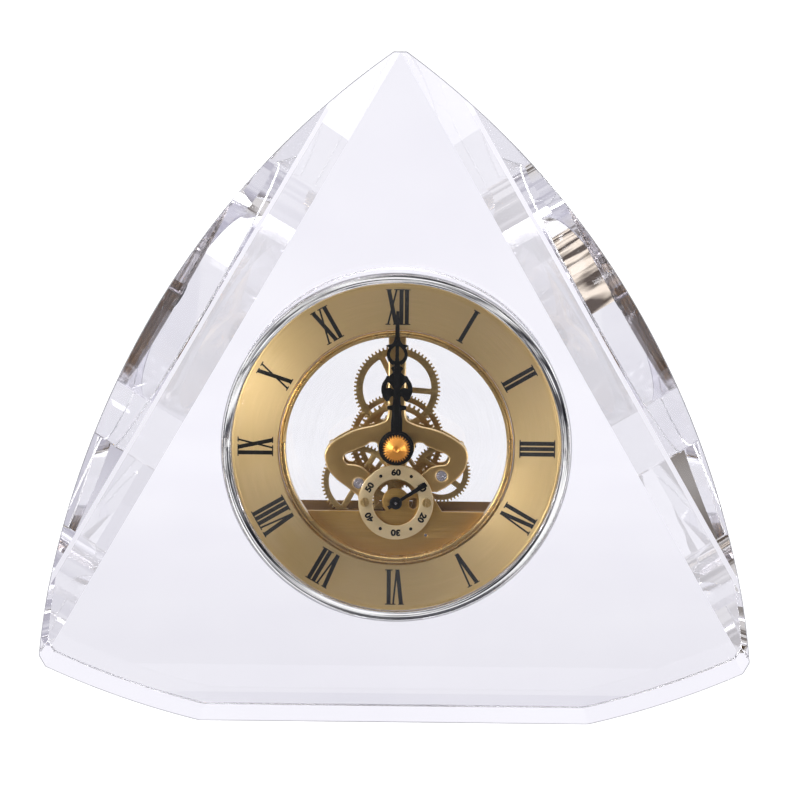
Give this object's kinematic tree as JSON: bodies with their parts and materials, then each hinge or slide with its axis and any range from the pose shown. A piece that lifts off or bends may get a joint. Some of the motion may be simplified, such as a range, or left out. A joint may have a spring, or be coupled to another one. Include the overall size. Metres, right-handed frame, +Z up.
{
  "type": "crystal desk clock",
  "caption": "Desk clock: a bevelled clear crystal block with curved sides holds a see-through gold movement with hour, minute and small seconds hands.",
  "frame": {"origin": "middle of the block's flat base, on the surface it stands on and halfway through the block's depth", "axes": "+Z up through the dial, +X to the right seen from the front, +Y from the dial to the back"},
  "size_m": [0.2026, 0.0468, 0.1905],
  "materials": {
    "crystal": "polished clear crystal",
    "clear_sleeve": "clear moulded plastic",
    "clear_lens": "clear domed plastic",
    "clear_cover": "clear moulded plastic",
    "dial_gold": "champagne gold, finely brushed",
    "rim_gold": "champagne gold, polished",
    "plate_gold": "champagne gold, satin",
    "box_gold": "champagne gold lacquer, satin",
    "box_plastic": "gold-lacquered moulding",
    "brass_parts": "turned brass",
    "steel_parts": "polished steel",
    "cell_wrap": "plain printed sleeve",
    "board_green": "green laminate",
    "black_resin": "black resin",
    "copper_wire": "enamelled copper wire",
    "seconds_gold": "light champagne gold, satin",
    "wheel_brass": "cut brass",
    "hand_black": "black lacquer",
    "nut_gold": "bright orange-gold plating",
    "knob_black": "black moulded plastic",
    "white_plastic": "white moulded plastic",
    "magnet_grey": "sintered magnet"
  },
  "bodies": {
    "case": {"crystal_block": "crystal", "case_sleeve": "clear_sleeve", "front_lens": "clear_lens", "dial_ring": "dial_gold", "dial_rim": "rim_gold", "rear_cover": "clear_cover", "front_plate": "plate_gold", "rear_plate": "plate_gold", "pillar_left": "brass_parts", "pillar_right": "brass_parts", "pillar_top": "brass_parts", "bush_left": "steel_parts", "bush_right": "steel_parts", "centre_bush": "brass_parts", "box_front": "box_gold", "box_body": "box_plastic", "battery_cell": "cell_wrap", "contact_positive": "steel_parts", "contact_negative": "steel_parts", "circuit_board": "board_green", "quartz_can": "steel_parts", "circuit_chip": "black_resin", "stator": "steel_parts", "coil": "copper_wire", "motor_bridge": "plate_gold", "seconds_dial": "seconds_gold", "dial_screw_left": "brass_parts", "dial_screw_right": "brass_parts"},
    "door": {"battery_door": "box_plastic"},
    "minute_group": {"cannon_pinion": "wheel_brass", "minute_hand": "hand_black", "hand_nut": "nut_gold", "setting_stem": "brass_parts", "setting_knob": "knob_black"},
    "hour_group": {"hour_wheel": "wheel_brass", "hour_hand": "hand_black"},
    "motion_group": {"minute_wheel": "wheel_brass", "minute_pinion": "wheel_brass"},
    "seconds_group": {"seconds_wheel": "wheel_brass", "seconds_arbor": "steel_parts", "seconds_hand": "hand_black"},
    "third_group": {"third_wheel": "wheel_brass", "third_pinion": "steel_parts"},
    "centre_group": {"centre_wheel": "wheel_brass"},
    "display_group": {"display_wheel": "wheel_brass", "display_arbor": "steel_parts"},
    "step_group": {"step_wheel": "white_plastic", "step_pinion": "white_plastic"},
    "rotor_group": {"rotor_arbor": "white_plastic", "rotor_magnet": "magnet_grey"}
  },
  "joints": [
    {"name": "battery_door_lift", "type": "slide", "parent": "case", "child": "door", "axis": [0, 1, 0], "range_m": [0, 0.012]},
    {"name": "minute_turn", "type": "hinge", "parent": "case", "child": "minute_group", "pos_m": [0, 0, 0.0788], "axis": [0, 1, 0], "continuous": true},
    {"name": "hour_turn", "type": "hinge", "parent": "case", "child": "hour_group", "pos_m": [0, 0, 0.0788], "axis": [0, 1, 0], "continuous": true},
    {"name": "motion_turn", "type": "hinge", "parent": "case", "child": "motion_group", "pos_m": [0, 0, 0.094], "axis": [0, 1, 0], "continuous": true},
    {"name": "second_turn", "type": "hinge", "parent": "case", "child": "seconds_group", "pos_m": [0, 0, 0.0628], "axis": [0, 1, 0], "continuous": true},
    {"name": "third_turn", "type": "hinge", "parent": "case", "child": "third_group", "pos_m": [-0.01066, 0, 0.06797], "axis": [0, 1, 0], "continuous": true},
    {"name": "centre_turn", "type": "hinge", "parent": "case", "child": "centre_group", "pos_m": [0, 0, 0.0788], "axis": [0, 1, 0], "continuous": true},
    {"name": "display_turn", "type": "hinge", "parent": "case", "child": "display_group", "pos_m": [0.0129, 0, 0.0703], "axis": [0, 1, 0], "continuous": true},
    {"name": "step_turn", "type": "hinge", "parent": "case", "child": "step_group", "pos_m": [0.00278, 0, 0.05515], "axis": [0, 1, 0], "continuous": true},
    {"name": "rotor_turn", "type": "hinge", "parent": "case", "child": "rotor_group", "pos_m": [0.00858, 0, 0.05327], "axis": [0, 1, 0], "continuous": true}
  ],
  "couplings": [
    {"joint": "motion_turn", "follows": "minute_turn", "ratio": -0.25},
    {"joint": "hour_turn", "follows": "minute_turn", "ratio": 0.083333},
    {"joint": "third_turn", "follows": "second_turn", "ratio": -0.13333},
    {"joint": "centre_turn", "follows": "second_turn", "ratio": 0.016667},
    {"joint": "display_turn", "follows": "second_turn", "ratio": -0.83333},
    {"joint": "step_turn", "follows": "second_turn", "ratio": -5},
    {"joint": "rotor_turn", "follows": "second_turn", "ratio": 30}
  ]
}
